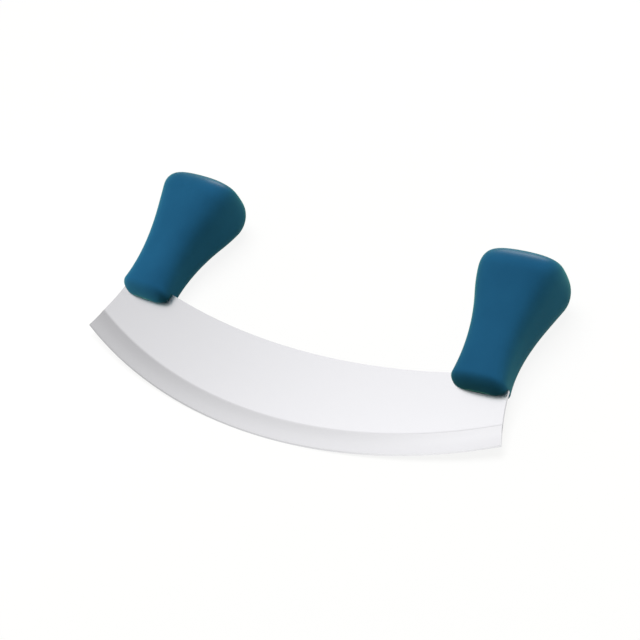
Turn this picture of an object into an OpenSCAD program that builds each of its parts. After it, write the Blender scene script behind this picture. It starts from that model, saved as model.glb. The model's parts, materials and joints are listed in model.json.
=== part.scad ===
// Mezzaluna: a rocking chopper with one crescent blade and two upright grips.
// It is drawn upright first, with X along the blade, Y through its thickness and Z from the
// cutting edge up to the grips, and is then laid on its back, as it rests on a worktop.

/* [Blade] */
// Length of the blade between its two tips
blade_l = 230; // [180:1:300]
// Height of the blade at its middle
blade_h = 45.5; // [36:0.5:60]
// Radius of the cutting edge
edge_r = 248; // [200:1:340]
// Radius of the hollow upper edge
back_r = 326; // [240:1:480]
// Radius of the hollow at each end
end_r = 110; // [60:1:300]
// How far each end runs in between its tip and its shoulder
end_in = 8; // [4:0.5:14]
// Thickness of the sheet, which the tangs keep
sheet_t = 1.6; // [1:0.1:3]
// Depth ground off each face of the sheet outside the grips
face_cut = 0.05; // [0.02:0.01:0.1]

/* [Cutting edge] */
// Width of the hollow ground bevel
bevel_w = 10; // [5:0.5:14]
// Radius of the wheel that grinds the bevel
wheel_r = 100; // [60:5:200]
// Width of the honed strip along the edge
hone_w = 0.7; // [0.3:0.1:1.5]
// Thickness where the bevel meets the honed strip
hone_t = 0.36; // [0.2:0.02:0.6]
// Thickness left at the cutting edge
edge_t = 0.06; // [0.02:0.01:0.12]

/* [Grips] */
// Distance from a tip of the blade in to the axis of its grip
grip_in = 20; // [16:0.5:40]
// How far a grip reaches down over the blade, at its axis
grip_over = 10.3; // [7:0.1:14]
// Lean of the grips towards each other, in degrees
grip_lean = 3.3; // [0:0.1:10]
// Height of a grip without the rise of its crown
grip_h = 63; // [50:1:90]
// Rise of the crown over its rim
crown_rise = 5.1; // [2:0.1:8]
// Half width at the lip, on the side that faces the tip
lip_out = 12.7; // [11:0.1:18]
// Half width at the crown, on the side that faces the tip
crown_out = 19.3; // [18:0.1:30]
// Hollow of the flank that faces the tip
bow_out = 4.7; // [2:0.1:8]
// How much nearer the lip this hollow lies, where 0 is midway
bow_out_low = 0.4; // [0:0.05:0.8]
// Half width at the lip, on the side that faces the other grip
lip_inn = 16.3; // [13:0.1:20]
// Half width at the crown, on the side that faces the other grip
crown_inn = 27.3; // [20:0.1:34]
// Hollow of the flank that faces the other grip
bow_inn = 6.2; // [2:0.1:8]
// Half thickness at the lip
lip_deep = 10.2; // [9.8:0.1:13]
// Half thickness at the crown
crown_deep = 21.6; // [16:0.1:26]
// Hollow of the front and back faces
bow_deep = 1.9; // [0:0.1:4]
// Squareness of a section at the lip, where 2 is an ellipse
lip_square = 2.8; // [2.2:0.1:5]
// Squareness of a section at the crown
crown_square = 3.9; // [2.2:0.1:5]
// Height over which the lip is rounded
lip_round_h = 5; // [3:0.1:8]
// How far its rounding reaches in from the tip's side, from the other side and from each face
lip_round = [8.2, 8.6, 9.4]; // [3:0.1:9.5]
// Height over which the crown is rounded on the tip's side, on the other side and on each face
crown_round_h = [8.2, 20.2, 9.9]; // [5:0.1:22]
// How far its rounding reaches in from the tip's side, from the other side and from each face
crown_round = [5.2, 10.7, 12.9]; // [3:0.1:15]

/* [Inside the grips] */
// Thickness of the soft skin over the core
skin_t = 3; // [2:0.1:4]
// Height of the skin under the core, where it closes on the blade
skin_low = 8; // [8:0.5:12]
// Height of the skin over the core
skin_top = 5; // [3:0.5:8]
// Width of a tang
tang_w = 13; // [8:0.5:16]
// Offset of a tang from the axis of its grip, towards the other grip
tang_off = 1.5; // [0:0.1:4]
// Height of core left over the end of a tang
tang_cover = 10; // [4:0.5:20]
// Height over the lip at which the end of the blade steps in to the tang
shoulder = 4; // [2:0.5:6]
// Diameter of the holes that lock a tang in its core
lock_d = 5; // [3:0.5:7]
// Distance between these holes
lock_gap = 13; // [8:0.5:20]
// Width of unground sheet left round a lip
lip_margin = 0.5; // [0.3:0.1:1]

/* [Hidden] */
$fn = 240;

// Sizes of the blade that follow from those above
blade_t = sheet_t - 2 * face_cut;
tip_x = blade_l / 2;
tip_z = edge_r - sqrt(edge_r * edge_r - tip_x * tip_x);
grip_x = tip_x - grip_in;
back_z = blade_h + back_r - sqrt(back_r * back_r - grip_x * grip_x);
lip_z = back_z - grip_over;

// Reach of what is cut past the end of the blade, from the axis of its grip
past_end = 2 * grip_in;

// Places in the lists of roundings
OUT = 0;
INN = 1;
DEEP = 2;

// Heights over the lip at which the crown's rounding starts, and from which the middle of the
// crown rises over its rim
crown_start = grip_h - max(crown_round_h);
rise_start = grip_h - 2 * crown_round_h[DEEP];

// Points round a ring and rings along a grip, for its skin and for its core
skin_points = 64;
skin_rings = 20;
lip_rings = 7;
crown_rings = 10;
cap_rings = 5;
core_points = 32;
core_rings = 12;

steel = "silver";
petrol = [0.10, 0.34, 0.45];
core_grey = [0.28, 0.29, 0.30];

// A flank of the grip at the share v of its height: straight from lip to crown, less a hollow
// that is deepest midway, or nearer the lip where low is more than 0
function flank(lip, crown, bow, v, low = 0) =
    lip * (1 - v) + crown * v - 4 * bow * v * (1 - v) * (1 + low * (1 - 2 * v));

// What a rounded end takes off, from 1 at the end to 0 where the rounding starts, at the share t
function rounding(t) = t >= 1 ? 0 : 1 - sqrt(1 - (1 - t) * (1 - t));

// What the lip's and the crown's rounding take off a half width or half thickness at the height z
function rounded_off(z, place) =
    lip_round[place] * rounding(z / lip_round_h)
    + crown_round[place] * rounding((grip_h - z) / crown_round_h[place]);

function half_out(z) =
    flank(lip_out, crown_out, bow_out, z / grip_h, bow_out_low) - rounded_off(z, OUT);
function half_inn(z) = flank(lip_inn, crown_inn, bow_inn, z / grip_h) - rounded_off(z, INN);
function half_deep(z) = flank(lip_deep, crown_deep, bow_deep, z / grip_h) - rounded_off(z, DEEP);
function square_at(z) = lip_square + (crown_square - lip_square) * z / grip_h;

// A power that keeps the sign of its base
function signed_pow(base, p) = sign(base) * pow(abs(base), p);

// The rise of the crown over the point x, y of a section at the height z
function rise(x, y, z) =
    let (
        share = max(0, (z - rise_start) / (grip_h - rise_start)),
        across = (x - (crown_out - crown_inn) / 2) / ((crown_out + crown_inn) / 2),
        through = y / crown_deep
    )
    crown_rise * share * share * (1 - (across * across + through * through) / 2);

// One ring of the grip at the height z, drawn in by inset and scaled about the axis by size
function ring(z, inset, size, count) =
    let (p = 2 / square_at(z))
    [
        for (i = [0 : count - 1])
            let (
                a = 360 * i / count,
                half = cos(a) > 0 ? half_out(z) : half_inn(z),
                x = size * (half - inset) * signed_pow(cos(a), p),
                y = size * (half_deep(z) - inset) * signed_pow(sin(a), p)
            )
            [x, y, z + rise(x, y, z)]
    ];

// The whole skin: its rounded lip, its flanks, its rounded crown and the cap on top
lip_heights = [for (i = [0 : lip_rings - 1]) lip_round_h * (1 - cos(90 * i / lip_rings))];
flank_heights = [
    for (i = [0 : skin_rings])
        lip_round_h + (crown_start - lip_round_h) * i / skin_rings
];
crown_heights = [
    for (i = [1 : crown_rings]) crown_start + (grip_h - crown_start) * sin(90 * i / crown_rings)
];
outer_rings = concat(
    [for (z = lip_heights) ring(z, 0, 1, skin_points)],
    [for (z = flank_heights) ring(z, 0, 1, skin_points)],
    [for (z = crown_heights) ring(z, 0, 1, skin_points)],
    [for (i = [1 : cap_rings - 1]) ring(grip_h, 0, 1 - i / cap_rings, skin_points)]
);

// The core keeps a skin thickness inside that shape
core_low = skin_low;
core_top = grip_h - skin_top;
inner_rings = [
    for (i = [0 : core_rings])
        ring(core_low + (core_top - core_low) * i / core_rings, skin_t, 1, core_points)
];
tang_l = core_top - tang_cover;

// The upright model turns over until it rests on the backs of both grips and on the back of the
// cutting edge, at one of these points of its middle section, as depth and height
contacts = [[edge_t / 2, 0], [hone_t / 2, hone_w], [blade_t / 2, bevel_w]];

// Where a point of a grip's own axis lies in the upright model, at the right end
function seated(p) = [
    grip_x + p[0] * cos(grip_lean) - p[2] * sin(grip_lean),
    p[1],
    lip_z + p[0] * sin(grip_lean) + p[2] * cos(grip_lean)
];
seated_points = [for (r = outer_rings) for (p = r) seated(p)];

// Lean of the plane through a contact that no point of the grips passes. The least of these
// leans is the one at which no other contact passes it either.
function lean_over(c) = max([for (p = seated_points) atan2(p[1] - c[0], p[2] - c[1])]);
rest_angle = min([for (c = contacts) lean_over(c)]);
rest_z = max([for (c = contacts) c[0] * cos(rest_angle) - c[1] * sin(rest_angle)]);
far_y = max([for (p = seated_points) p[1] * sin(rest_angle) + p[2] * cos(rest_angle)]);
near_y = -edge_t / 2 * sin(rest_angle);

// Lays the upright model on its back, centred over the origin
module lay_down()
    translate([0, -(far_y + near_y) / 2, rest_z])
        rotate([rest_angle - 90, 0, 0])
            children();

// Seats what is drawn on a grip's own axis, lip at zero, on the right end of the blade
module on_right_end()
    translate([grip_x, 0, lip_z])
        rotate([0, -grip_lean, 0])
            children();

// Seats the same on the left end
module on_left_end()
    mirror([1, 0, 0])
        on_right_end()
            children();

// A closed solid through a stack of rings, whose first and last are at the heights from and to
module skinned(rings, from, to) {
    n = len(rings);
    count = len(rings[0]);
    low = n * count;
    high = low + 1;
    ends = [[0, 0, from], [0, 0, to + rise(0, 0, to)]];
    polyhedron(
        points = concat([for (r = rings) each r], ends),
        faces = concat(
            [
                for (k = [0 : n - 2])
                    for (i = [0 : count - 1])
                        let (a = k * count + i, b = k * count + (i + 1) % count)
                        each [[a, a + count, b], [b, a + count, b + count]]
            ],
            [for (i = [0 : count - 1]) [low, i, (i + 1) % count]],
            [
                for (i = [0 : count - 1])
                    [high, (n - 1) * count + (i + 1) % count, (n - 1) * count + i]
            ]
        )
    );
}

// Flat drawing of the blade, with X along it and Y up, in the plane of its faces

// A grip's own axis in that drawing
module on_right_axis()
    translate([grip_x, lip_z])
        rotate(grip_lean)
            children();

// The circle that hollows the right end, through the tip and a point at the lip's height
module end_hollow() {
    top = [tip_x - end_in, lip_z + shoulder];
    tip = [tip_x, tip_z];
    along = top - tip;
    half = norm(along) / 2;
    away = [along[1], -along[0]] / norm(along);
    translate((top + tip) / 2 + away * sqrt(end_r * end_r - half * half))
        circle(end_r);
}

// The corner over the right shoulder, which steps in to the tang
module over_shoulder()
    on_right_axis()
        translate([tang_w / 2 - tang_off, shoulder])
            square([past_end, grip_h]);

// The right tang from the blade up, with its round end and its locking holes
module tang()
    on_right_axis()
        translate([-tang_off, 0])
            difference() {
                union() {
                    translate([-tang_w / 2, 0])
                        square([tang_w, tang_l - tang_w / 2]);
                    translate([0, tang_l - tang_w / 2])
                        circle(tang_w / 2);
                }
                for (i = [0, 1])
                    translate([0, tang_l - tang_w / 2 - i * lock_gap])
                        circle(d = lock_d);
            }

// The sheet under the right grip, which isn't ground
module unground()
    on_right_axis()
        translate([-lip_inn - lip_margin, -lip_margin])
            square([lip_inn + lip_margin + past_end, grip_h]);

module both_ends() {
    children();
    mirror([1, 0])
        children();
}

module outline() {
    difference() {
        intersection() {
            translate([0, edge_r])
                circle(edge_r);
            translate([-tip_x, 0])
                square([blade_l, lip_z + grip_h]);
        }
        translate([0, blade_h + back_r])
            circle(back_r);
        both_ends() {
            end_hollow();
            over_shoulder();
        }
    }
    both_ends()
        tang();
}

// Radial section of the blade, with its two hollow grinds and its honed strip
module edge_section() {
    from = [edge_r - bevel_w, blade_t / 2];
    to = [edge_r - hone_w, hone_t / 2];
    along = to - from;
    half = norm(along) / 2;
    away = [-along[1], along[0]] / norm(along);
    wheel = (from + to) / 2 + away * sqrt(wheel_r * wheel_r - half * half);
    difference() {
        translate([0, -sheet_t / 2])
            square([edge_r, sheet_t]);
        for (side = [1, -1])
            scale([1, side]) {
                translate(wheel)
                    circle(wheel_r);
                polygon([to, [edge_r, edge_t / 2], [edge_r + sheet_t, sheet_t], [to[0], sheet_t]]);
            }
    }
}

module blade_upright()
    rotate([90, 0, 0])
        intersection() {
            translate([0, edge_r, 0])
                rotate_extrude()
                    edge_section();
            union() {
                linear_extrude(blade_t, center = true)
                    outline();
                linear_extrude(sheet_t, center = true)
                    intersection() {
                        outline();
                        both_ends()
                            unground();
                    }
            }
        }

module blade()
    color(steel)
        lay_down()
            blade_upright();

module core_shape()
    skinned(inner_rings, core_low, core_top);

module grip_shape()
    difference() {
        skinned(outer_rings, 0, grip_h);
        core_shape();
    }

module left_core()
    color(core_grey)
        lay_down()
            difference() {
                on_left_end()
                    core_shape();
                blade_upright();
            }

module right_core()
    color(core_grey)
        lay_down()
            difference() {
                on_right_end()
                    core_shape();
                blade_upright();
            }

module left_grip()
    color(petrol)
        lay_down()
            difference() {
                on_left_end()
                    grip_shape();
                blade_upright();
            }

module right_grip()
    color(petrol)
        lay_down()
            difference() {
                on_right_end()
                    grip_shape();
                blade_upright();
            }

blade();
left_core();
right_core();
left_grip();
right_grip();
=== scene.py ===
"""Looks of the mezzaluna: satin steel blade, petrol blue grips, pale floor, soft light, camera."""

import json
import math

import bpy
from mathutils import Matrix, Vector


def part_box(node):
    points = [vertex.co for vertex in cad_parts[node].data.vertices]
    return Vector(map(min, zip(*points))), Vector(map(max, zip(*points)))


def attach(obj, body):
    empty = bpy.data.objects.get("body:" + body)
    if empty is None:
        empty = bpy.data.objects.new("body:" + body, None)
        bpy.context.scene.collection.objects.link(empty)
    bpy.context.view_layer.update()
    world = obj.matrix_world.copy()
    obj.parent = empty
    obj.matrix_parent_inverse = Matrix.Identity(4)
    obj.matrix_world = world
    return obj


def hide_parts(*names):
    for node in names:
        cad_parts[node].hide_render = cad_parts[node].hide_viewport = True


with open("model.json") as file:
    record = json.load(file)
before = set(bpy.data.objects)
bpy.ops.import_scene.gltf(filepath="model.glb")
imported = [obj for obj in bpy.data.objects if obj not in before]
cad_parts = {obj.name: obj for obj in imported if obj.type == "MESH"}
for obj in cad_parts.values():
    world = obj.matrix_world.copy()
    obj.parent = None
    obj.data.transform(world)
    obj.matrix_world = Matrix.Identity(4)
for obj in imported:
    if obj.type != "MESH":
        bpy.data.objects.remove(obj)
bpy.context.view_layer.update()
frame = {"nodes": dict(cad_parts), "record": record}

MM = 0.001

# The blade's arcs, as the CAD model has them, in millimetres
EDGE_R = 248.0
BLADE_T = 1.5
BEVEL_W = 10.0
HONE_W = 0.7

# The grips, as the CAD model has them, in millimetres
GRIP_X = 95.0
LIP_Z = 49.35
GRIP_LEAN = math.radians(3.3)
GRIP_H = 63.0
CROWN_RISE = 5.1
LIP_OUT, CROWN_OUT, BOW_OUT = 12.7, 19.3, 4.7
BOW_OUT_LOW = 0.4
LIP_INN, CROWN_INN, BOW_INN = 16.3, 27.3, 6.2
LIP_DEEP, CROWN_DEEP, BOW_DEEP = 10.2, 21.6, 1.9
LIP_SQUARE, CROWN_SQUARE = 2.8, 3.9
LIP_ROUND_H = 5.0
CROWN_ROUND_H = (8.2, 20.2, 9.9)
LIP_ROUND = (8.2, 8.6, 9.4)
CROWN_ROUND = (5.2, 10.7, 12.9)

# Places in the lists of roundings: towards the tip, away from it, towards each face
OUT, INN, DEEP = 0, 1, 2

# The hollow in a grip's skin that its core fills, in millimetres
CORE_LOW, CORE_TOP = 8.0, 58.0
SKIN_T = 3.0

# Points round a ring of a grip, and rings along its lip, flanks, crown, cap and hollow
RING_POINTS = 128
LIP_RINGS = 14
FLANK_RINGS = 40
CROWN_RINGS = 28
CAP_RINGS = 14
CORE_RINGS = 24

# The view of the photograph, in the upright model's own frame: where the camera looks, from
# where, and how it is rolled
LOOK_AT = Vector((4.4, -2.3, 62.0))
CAMERA_AT = Vector((464.9, -693.8, -241.0))
CAMERA_ROLL = math.radians(28.06)
SENSOR = 36.0
LENS = 108.15

# Colours between which each surface varies, and the one colour of the honed strip
GRIP_TONES = (0.0128, 0.0905, 0.207), (0.0146, 0.1005, 0.227)
CORE_TONES = (0.060, 0.065, 0.070), (0.075, 0.080, 0.085)
FLAT_TONES = (0.585, 0.583, 0.601), (0.609, 0.607, 0.625)
# The bevel's colours are darker than the flats', partly for its ground finish and partly as painted
# shade
BEVEL_FINISH_AND_SHADE_TONES = (0.425, 0.423, 0.435), (0.445, 0.443, 0.455)
# The honed strip's colour is painted shade, grey, which draws the edge as a thin grey line
HONE_PAINTED_SHADE = (0.47, 0.47, 0.48)

# Painted shading of the hollow: how much of the flats' colour the bevel takes on beside the honed
# strip, which paints it lighter towards the edge
HOLLOW_PAINTED_LIGHT = 0.30

# Roughness between which each surface varies
GRIP_ROUGHNESS = (0.36, 0.42)
CORE_ROUGHNESS = (0.50, 0.60)
STEEL_ROUGHNESS = (0.21, 0.26)

# Gloss and sheen of the grips
GRIP_SPECULAR = 0.007
SHEEN_WEIGHT = 0.32
SHEEN_ROUGHNESS = 0.42
SHEEN_TINT = (0.22, 1.0, 0.60, 1.0)

# Scales of the clouds of colour and of the moulded grain, per metre
GRIP_CLOUDS, GRIP_GRAIN = 45.0, 2600.0
CORE_CLOUDS, CORE_GRAIN = 60.0, 1500.0

# Bumps, each as its strength and its height in metres
GRIP_BUMP = (0.16, 0.00005)
CORE_BUMP = (0.10, 0.00005)
STEEL_BUMP = (0.10, 0.00002)

# How close the scratches lie along the arc, per radian, and across it, per metre
FLAT_SCRATCHES = (3.0, 5200.0)
BEVEL_SCRATCHES = (1400.0, 25.0)

# How far before and past the bevel's boundary its looks fade, and half the honed strip's fade,
# in millimetres
FADE_BEFORE, FADE_PAST = 0.4, 1.2
HONE_FADE = 0.1

# Edges of the skins' slots that turn by more than this are sharp
SHARP_EDGE = math.radians(35.0)

# The world's level and colour for rays that don't see it white
WORLD_LEVEL = 0.22
WORLD_TINT = (1.0, 1.0, 0.60, 1.0)

# The floor: its size in metres, the share of its own white and its grey level where it is seen,
# and the colour that it throws back on the object
FLOOR_SIZE = 12.0
FLOOR_GLOW = 0.89
FLOOR_SEEN = 0.98
FLOOR_BOUNCE = (0.56, 0.56, 0.46)

# Soft boxes: name, place, width and height in metres, level, of which 1 is white, and the rays
# that don't see the box
SOFT_BOXES = (
    ("key", (-0.10, 0.45, 1.60), 1.2, 1.2, 5.9, "glossy"),
    ("side", (0.45, 0.20, 0.10), 0.2, 0.2, 2.2, "glossy"),
    ("lips", (-0.24, -0.10, 0.03), 0.1, 0.1, 9.0, "glossy"),
    ("back", (-0.45, 1.50, 0.16), 0.8, 0.18, 90.0, "diffuse"),
)

# Panels overhead that the steel reflects: name, two corners in plan, height and level. No two lie
# at one height, because lamps in one plane hide each other.
PANELS = (
    ("panel_0", (-1.16, -0.10), (-0.20, 1.20), 1.50, 0.20),
    ("panel_1", (-1.00, -0.10), (-0.20, 1.20), 1.52, 0.26),
    ("bevel_panel", (-1.15, -0.60), (-0.20, 0.12), 1.46, 0.46),
    ("bevel_panel_2", (-0.60, -0.60), (-0.20, 0.12), 1.44, 0.62),
)


def mount(name):
    """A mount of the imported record."""
    return next(m for m in frame["record"]["mounts"] if m["name"] == name)


def blade_normal():
    """The direction that the blade's front face looks in."""
    return Vector(mount("blade_front_face")["axis"])


def lay_down():
    """Takes the upright model, in millimetres, to where it lies on the floor, in metres."""
    normal = blade_normal()
    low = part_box("blade")[0]
    face = Vector(mount("blade_front_face")["pos_m"])
    high = (normal.dot(face) - BLADE_T / 2 * MM - normal.y * low[1]) / normal.z
    turn = Matrix.Rotation(math.asin(-normal.y) - math.pi / 2, 4, "X")
    return Matrix.Translation((0.0, low[1], high)) @ turn @ Matrix.Scale(MM, 4)


def flank(lip, crown, bow, share, low=0.0):
    """Half a width at that share of the grip's height: a straight flank less its hollow."""
    hollow = 4 * bow * share * (1 - share) * (1 + low * (1 - 2 * share))
    return lip * (1 - share) + crown * share - hollow


def rounding(share):
    """What a rounded end takes off, from 1 at the end to 0 where the rounding starts."""
    if share >= 1:
        return 0.0
    return 1 - math.sqrt(max(0.0, 1 - (1 - share) ** 2))


def rounded_off(z, place):
    """What the lip's and the crown's rounding take off a half width or half thickness."""
    at_lip = LIP_ROUND[place] * rounding(z / LIP_ROUND_H)
    at_crown = CROWN_ROUND[place] * rounding((GRIP_H - z) / CROWN_ROUND_H[place])
    return at_lip + at_crown


def signed_power(base, power):
    """A power of a number that keeps its sign."""
    return math.copysign(abs(base) ** power, base)


def rise(x, y, z):
    """How much higher the crown stands over that point of a section."""
    start = GRIP_H - 2 * CROWN_ROUND_H[DEEP]
    share = max(0.0, (z - start) / (GRIP_H - start))
    across = (x - (CROWN_OUT - CROWN_INN) / 2) / ((CROWN_OUT + CROWN_INN) / 2)
    through = y / CROWN_DEEP
    return CROWN_RISE * share ** 2 * (1 - (across ** 2 + through ** 2) / 2)


def ring(z, size=1.0, inset=0.0):
    """One ring of the grip at that height, drawn in by inset and scaled about the grip's axis."""
    share = z / GRIP_H
    power = 2 / (LIP_SQUARE + (CROWN_SQUARE - LIP_SQUARE) * share)
    out = flank(LIP_OUT, CROWN_OUT, BOW_OUT, share, BOW_OUT_LOW) - rounded_off(z, OUT) - inset
    inn = flank(LIP_INN, CROWN_INN, BOW_INN, share) - rounded_off(z, INN) - inset
    deep = flank(LIP_DEEP, CROWN_DEEP, BOW_DEEP, share) - rounded_off(z, DEEP) - inset
    points = []
    for i in range(RING_POINTS):
        angle = 2 * math.pi * i / RING_POINTS
        x = size * (out if math.cos(angle) > 0 else inn) * signed_power(math.cos(angle), power)
        y = size * deep * signed_power(math.sin(angle), power)
        points.append(Vector((x, y, z + rise(x, y, z))))
    return points


def outer_rings():
    """The rings of a grip from its lip over its flanks to the middle of its crown."""
    quarter = math.pi / 2
    flank_top = GRIP_H - max(CROWN_ROUND_H)
    rings = []
    for i in range(LIP_RINGS):
        rings.append(ring(LIP_ROUND_H * (1 - math.cos(quarter * i / LIP_RINGS))))
    for i in range(FLANK_RINGS + 1):
        rings.append(ring(LIP_ROUND_H + (flank_top - LIP_ROUND_H) * i / FLANK_RINGS))
    for i in range(1, CROWN_RINGS + 1):
        rings.append(ring(flank_top + (GRIP_H - flank_top) * math.sin(quarter * i / CROWN_RINGS)))
    for i in range(1, CAP_RINGS):
        rings.append(ring(GRIP_H, 1 - i / CAP_RINGS))
    return rings


def inner_rings():
    """The rings of the hollow that the core fills."""
    step = (CORE_TOP - CORE_LOW) / CORE_RINGS
    return [ring(CORE_LOW + step * i, inset=SKIN_T) for i in range(CORE_RINGS + 1)]


def closed_stack(rings, low, high, first):
    """Points and faces of the closed surface through rings, whose point numbers start at first."""
    count = RING_POINTS
    points = [p for r in rings for p in r]
    points.append(Vector((0.0, 0.0, low)))
    points.append(Vector((0.0, 0.0, high + rise(0.0, 0.0, high))))
    last = first + (len(rings) - 1) * count
    bottom = first + len(rings) * count
    faces = []
    for k in range(len(rings) - 1):
        for i in range(count):
            a = first + k * count + i
            b = first + k * count + (i + 1) % count
            faces.append((a, b, b + count, a + count))
    for i in range(count):
        after = (i + 1) % count
        faces.append((bottom, first + after, first + i))
        faces.append((bottom + 1, last + i, last + after))
    return points, faces


def make_skin(name, side, place):
    """The skin of the left (-1) or right (1) grip: its outer surface and the hollow inside it."""
    seat = Matrix.Translation((GRIP_X, 0.0, LIP_Z)) @ Matrix.Rotation(-GRIP_LEAN, 4, "Y")
    whole = place @ Matrix.Diagonal((side, 1.0, 1.0, 1.0)) @ seat
    points, faces = closed_stack(outer_rings(), 0.0, GRIP_H, 0)
    hollow_points, hollow_faces = closed_stack(inner_rings(), CORE_LOW, CORE_TOP, len(points))
    faces += [tuple(reversed(f)) for f in hollow_faces]
    if side < 0:
        faces = [tuple(reversed(f)) for f in faces]
    mesh = bpy.data.meshes.new(name)
    mesh.from_pydata([tuple(whole @ p) for p in points + hollow_points], [], faces)
    mesh.polygons.foreach_set("use_smooth", [True] * len(mesh.polygons))
    mesh.update()
    piece = bpy.data.objects.new(name, mesh)
    bpy.context.collection.objects.link(piece)
    return piece


def cut_out(piece, tool):
    """Takes the blade's space out of a skin, which leaves the slot that its tang goes through."""
    cut = piece.modifiers.new("slot", "BOOLEAN")
    cut.operation = "DIFFERENCE"
    cut.solver = "EXACT"
    cut.object = tool
    graph = bpy.context.evaluated_depsgraph_get()
    mesh = bpy.data.meshes.new_from_object(piece.evaluated_get(graph))
    piece.modifiers.clear()
    piece.data = mesh
    mesh.set_sharp_from_angle(angle=SHARP_EDGE)


class Nodes:
    """A short way to build a material's nodes."""

    def __init__(self, name):
        self.material = bpy.data.materials.new(name)
        self.material.use_nodes = True
        self.tree = self.material.node_tree
        self.shader = self.tree.nodes["Principled BSDF"]
        self.output = self.tree.nodes["Material Output"]

    def add(self, kind, **values):
        node = self.tree.nodes.new(kind)
        for key, value in values.items():
            setattr(node, key, value)
        return node

    def link(self, source, target):
        self.tree.links.new(source, target)

    def noise(self, vector, scale, detail=3.0, roughness=0.5):
        node = self.add("ShaderNodeTexNoise")
        node.inputs["Scale"].default_value = scale
        node.inputs["Detail"].default_value = detail
        node.inputs["Roughness"].default_value = roughness
        self.link(vector, node.inputs["Vector"])
        return node.outputs["Fac"]

    def math(self, operation, a, b=None, clamp=False):
        node = self.add("ShaderNodeMath", operation=operation, use_clamp=clamp)
        for index, value in enumerate((a, b)):
            if value is None:
                continue
            if isinstance(value, (int, float)):
                node.inputs[index].default_value = value
            else:
                self.link(value, node.inputs[index])
        return node.outputs[0]

    def spread(self, value, low, high, to_low, to_high):
        node = self.add("ShaderNodeMapRange", interpolation_type="SMOOTHSTEP")
        limits = {"From Min": low, "From Max": high, "To Min": to_low, "To Max": to_high}
        for socket, number in limits.items():
            node.inputs[socket].default_value = number
        self.link(value, node.inputs["Value"])
        return node.outputs["Result"]

    def ramp(self, value, low_color, high_color):
        node = self.add("ShaderNodeMix", data_type="RGBA")
        node.inputs["A"].default_value = (*low_color, 1.0)
        node.inputs["B"].default_value = (*high_color, 1.0)
        self.link(value, node.inputs["Factor"])
        return node.outputs["Result"]

    def blend(self, factor, first, second):
        """Mixes two colours, of which the second may be a fixed one."""
        node = self.add("ShaderNodeMix", data_type="RGBA")
        self.link(factor, node.inputs["Factor"])
        self.link(first, node.inputs["A"])
        if isinstance(second, tuple):
            node.inputs["B"].default_value = (*second, 1.0)
        else:
            self.link(second, node.inputs["B"])
        return node.outputs["Result"]

    def bump(self, height, strength, distance):
        node = self.add("ShaderNodeBump")
        node.inputs["Strength"].default_value = strength
        node.inputs["Distance"].default_value = distance
        self.link(height, node.inputs["Height"])
        self.link(node.outputs["Normal"], self.shader.inputs["Normal"])


def grip_material():
    """Petrol blue satin plastic with a fine moulded texture, faint variation and a teal sheen."""
    n = Nodes("grip_skin_look")
    place = n.add("ShaderNodeTexCoord").outputs["Object"]
    cloud = n.noise(place, GRIP_CLOUDS, detail=4.0)
    tone = n.spread(cloud, 0.3, 0.7, 0.0, 1.0)
    n.link(n.ramp(tone, *GRIP_TONES), n.shader.inputs["Base Color"])
    n.link(n.spread(cloud, 0.3, 0.7, *GRIP_ROUGHNESS), n.shader.inputs["Roughness"])
    n.shader.inputs["Specular IOR Level"].default_value = GRIP_SPECULAR
    n.shader.inputs["Sheen Weight"].default_value = SHEEN_WEIGHT
    n.shader.inputs["Sheen Roughness"].default_value = SHEEN_ROUGHNESS
    n.shader.inputs["Sheen Tint"].default_value = SHEEN_TINT
    n.bump(n.noise(place, GRIP_GRAIN, detail=2.0), *GRIP_BUMP)
    return n.material


def core_material():
    """Plain grey moulded plastic, which the skins hide."""
    n = Nodes("core_plastic_look")
    place = n.add("ShaderNodeTexCoord").outputs["Object"]
    cloud = n.noise(place, CORE_CLOUDS)
    n.link(n.ramp(cloud, *CORE_TONES), n.shader.inputs["Base Color"])
    n.link(n.spread(cloud, 0.3, 0.7, *CORE_ROUGHNESS), n.shader.inputs["Roughness"])
    n.bump(n.noise(place, CORE_GRAIN), *CORE_BUMP)
    return n.material


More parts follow.
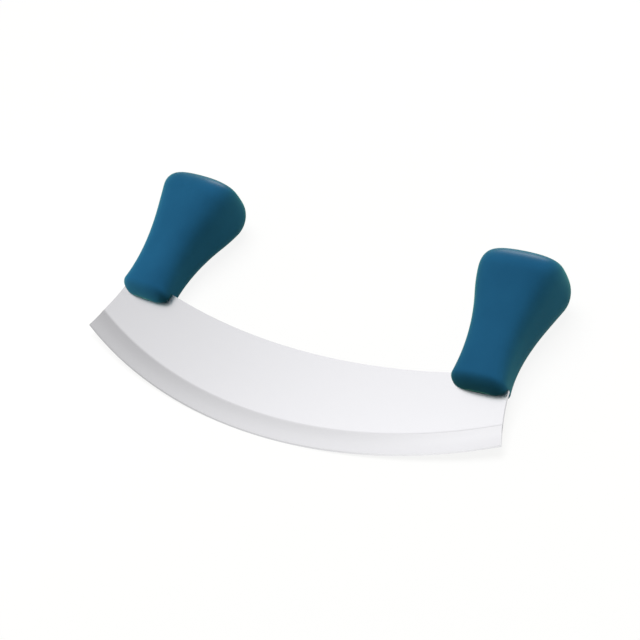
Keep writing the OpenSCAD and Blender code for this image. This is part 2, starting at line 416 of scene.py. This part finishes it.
def steel_material(place):
    """Satin steel, ground along the blade; its hollow bevel is darker, partly for its ground finish
    and partly as painted shade, and is painted lighter towards the edge, and its honed strip is
    painted grey as painted shade along the edge.
    """
    n = Nodes("blade_steel_look")
    n.shader.inputs["Metallic"].default_value = 1.0
    coords = n.add("ShaderNodeTexCoord").outputs["Object"]
    to_blade = n.add("ShaderNodeMapping", vector_type="TEXTURE")
    centre = place @ Vector((0.0, 0.0, EDGE_R))
    to_blade.inputs["Location"].default_value = centre
    to_blade.inputs["Rotation"].default_value = (math.asin(-blade_normal().y) - math.pi / 2, 0.0, 0.0)
    n.link(coords, to_blade.inputs["Vector"])
    parts = n.add("ShaderNodeSeparateXYZ")
    n.link(to_blade.outputs["Vector"], parts.inputs["Vector"])
    x, z = parts.outputs["X"], parts.outputs["Z"]
    radius = n.math("SQRT", n.math("ADD", n.math("MULTIPLY", x, x), n.math("MULTIPLY", z, z)))
    angle = n.math("ARCTAN2", x, n.math("MULTIPLY", z, -1.0))
    inside = n.math("SUBTRACT", EDGE_R * MM, radius)

    # Fine scratches run along the blade on the flats and across it on the bevel
    along = n.add("ShaderNodeCombineXYZ")
    n.link(n.math("MULTIPLY", angle, FLAT_SCRATCHES[0]), along.inputs["X"])
    n.link(n.math("MULTIPLY", radius, FLAT_SCRATCHES[1]), along.inputs["Y"])
    flat_lines = n.noise(along.outputs["Vector"], 1.0, detail=2.0)
    across = n.add("ShaderNodeCombineXYZ")
    n.link(n.math("MULTIPLY", angle, BEVEL_SCRATCHES[0]), across.inputs["X"])
    n.link(n.math("MULTIPLY", radius, BEVEL_SCRATCHES[1]), across.inputs["Y"])
    bevel_lines = n.noise(across.outputs["Vector"], 1.0, detail=2.0)
    on_bevel = n.spread(inside, (BEVEL_W - FADE_BEFORE) * MM, (BEVEL_W + FADE_PAST) * MM, 1.0, 0.0)
    hone_shade_mask = n.spread(inside, (HONE_W - HONE_FADE) * MM, (HONE_W + HONE_FADE) * MM, 1.0, 0.0)
    lines = n.add("ShaderNodeMix", data_type="FLOAT")
    n.link(on_bevel, lines.inputs["Factor"])
    n.link(flat_lines, lines.inputs["A"])
    n.link(bevel_lines, lines.inputs["B"])
    height = lines.outputs["Result"]
    flat_tone = n.ramp(height, *FLAT_TONES)
    # The bevel's colours are darker than the flats', partly for its ground finish and partly as
    # painted shade
    bevel_finish_and_shading = n.ramp(height, *BEVEL_FINISH_AND_SHADE_TONES)
    # Painted shading: the bevel is painted lighter towards the honed strip, as light falls in its
    # hollow
    painted_light_to_edge = n.spread(inside, HONE_W * MM, BEVEL_W * MM, HOLLOW_PAINTED_LIGHT, 0.0)
    bevel_finish_and_shading = n.blend(painted_light_to_edge, bevel_finish_and_shading, flat_tone)
    ground = n.blend(on_bevel, flat_tone, bevel_finish_and_shading)
    # Painted shade: the honed strip is painted grey, which draws the edge as a thin grey line
    n.link(n.blend(hone_shade_mask, ground, HONE_PAINTED_SHADE), n.shader.inputs["Base Color"])
    n.link(n.spread(height, 0.2, 0.8, *STEEL_ROUGHNESS), n.shader.inputs["Roughness"])
    n.bump(height, *STEEL_BUMP)
    return n.material


def white_to_the_eye(tree):
    """1 for rays that reach the eye directly, off gloss or through glass, and see white."""
    rays = tree.nodes.new("ShaderNodeLightPath")
    seen = rays.outputs["Is Camera Ray"]
    for kind in ("Is Glossy Ray", "Is Transmission Ray"):
        either = tree.nodes.new("ShaderNodeMath")
        either.operation = "MAXIMUM"
        tree.links.new(seen, either.inputs[0])
        tree.links.new(rays.outputs[kind], either.inputs[1])
        seen = either.outputs[0]
    straight = tree.nodes.new("ShaderNodeMath")
    straight.operation = "LESS_THAN"
    straight.inputs[1].default_value = 0.5
    tree.links.new(rays.outputs["Diffuse Depth"], straight.inputs[0])
    both = tree.nodes.new("ShaderNodeMath")
    both.operation = "MULTIPLY"
    tree.links.new(seen, both.inputs[0])
    tree.links.new(straight.outputs[0], both.inputs[1])
    return both.outputs[0]


def make_floor():
    """A pale floor that is white to the camera and keeps a soft shadow."""
    bpy.ops.mesh.primitive_plane_add(size=FLOOR_SIZE)
    floor = bpy.context.object
    floor.name = "floor"
    n = Nodes("floor_look")
    seen = white_to_the_eye(n.tree)
    n.link(n.ramp(seen, FLOOR_BOUNCE, (FLOOR_SEEN,) * 3), n.shader.inputs["Base Color"])
    n.shader.inputs["Roughness"].default_value = 1.0
    n.shader.inputs["Specular IOR Level"].default_value = 0.0
    glow = n.add("ShaderNodeEmission")
    glow.inputs["Color"].default_value = (1.0, 1.0, 1.0, 1.0)
    glow.inputs["Strength"].default_value = 1.0
    mix = n.add("ShaderNodeMixShader")
    n.link(n.math("MULTIPLY", seen, FLOOR_GLOW), mix.inputs["Fac"])
    n.link(n.shader.outputs["BSDF"], mix.inputs[1])
    n.link(glow.outputs["Emission"], mix.inputs[2])
    n.link(mix.outputs["Shader"], n.output.inputs["Surface"])
    floor.data.materials.append(n.material)


def make_world():
    """Plain light from all round, white where the camera or a reflection sees it."""
    world = bpy.data.worlds.new("studio")
    bpy.context.scene.world = world
    world.use_nodes = True
    tree = world.node_tree
    back = tree.nodes["Background"]
    seen = white_to_the_eye(tree)
    tint = tree.nodes.new("ShaderNodeMix")
    tint.data_type = "RGBA"
    tint.inputs["A"].default_value = WORLD_TINT
    tint.inputs["B"].default_value = (1.0, 1.0, 1.0, 1.0)
    tree.links.new(seen, tint.inputs["Factor"])
    tree.links.new(tint.outputs["Result"], back.inputs["Color"])
    level = tree.nodes.new("ShaderNodeMapRange")
    level.inputs["To Min"].default_value = WORLD_LEVEL
    level.inputs["To Max"].default_value = 1.0
    tree.links.new(seen, level.inputs["Value"])
    tree.links.new(level.outputs["Result"], back.inputs["Strength"])


def soft_box(name, at, width, height, level, blind):
    """A soft box that looks at the origin, and that the camera and one kind of ray don't see."""
    data = bpy.data.lights.new(name, "AREA")
    data.shape = "RECTANGLE"
    data.size = width
    data.size_y = height
    data.energy = math.pi * width * height * level
    light = bpy.data.objects.new(name, data)
    light.location = at
    light.rotation_euler = (-Vector(at)).to_track_quat("-Z", "Y").to_euler()
    light.visible_camera = False
    bpy.context.collection.objects.link(light)
    if blind == "glossy":
        light.visible_glossy = False
    else:
        light.visible_diffuse = False


def panel(name, low, high, height, level):
    """A level panel overhead, between two corners in plan, that only gloss shows."""
    data = bpy.data.lights.new(name, "AREA")
    data.shape = "RECTANGLE"
    data.size = high[0] - low[0]
    data.size_y = high[1] - low[1]
    data.energy = math.pi * data.size * data.size_y * level
    light = bpy.data.objects.new(name, data)
    light.location = ((low[0] + high[0]) / 2, (low[1] + high[1]) / 2, height)
    bpy.context.collection.objects.link(light)
    light.visible_diffuse = False


def make_camera(place):
    """The camera of the photograph, which that placing takes from the upright model's frame."""
    data = bpy.data.cameras.new("camera")
    data.sensor_width = SENSOR
    data.lens = LENS
    data.clip_start = 0.01
    camera = bpy.data.objects.new("camera", data)
    aim = (LOOK_AT - CAMERA_AT).to_track_quat("-Z", "Y").to_matrix().to_4x4()
    roll = Matrix.Rotation(CAMERA_ROLL, 4, "Z")
    turn = place.to_quaternion().to_matrix().to_4x4()
    camera.matrix_world = Matrix.Translation(place @ CAMERA_AT) @ turn @ aim @ roll
    bpy.context.collection.objects.link(camera)
    bpy.context.scene.camera = camera


def set_material(piece, material):
    """Gives a piece that one material."""
    piece.data.materials.clear()
    piece.data.materials.append(material)


place = lay_down()
make_camera(place)
petrol = grip_material()
for name, node, side in (("left_skin", "left_grip", -1.0), ("right_skin", "right_grip", 1.0)):
    skin = make_skin(name, side, place)
    cut_out(skin, frame["nodes"]["blade"])
    set_material(skin, petrol)
    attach(skin, "root")
    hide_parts(node)
set_material(frame["nodes"]["blade"], steel_material(place))
for node in ("left_core", "right_core"):
    set_material(frame["nodes"][node], core_material())

make_floor()
make_world()
for box in SOFT_BOXES:
    soft_box(*box)
for sheet in PANELS:
    panel(*sheet)

scene = bpy.context.scene
scene.view_settings.view_transform = "Standard"
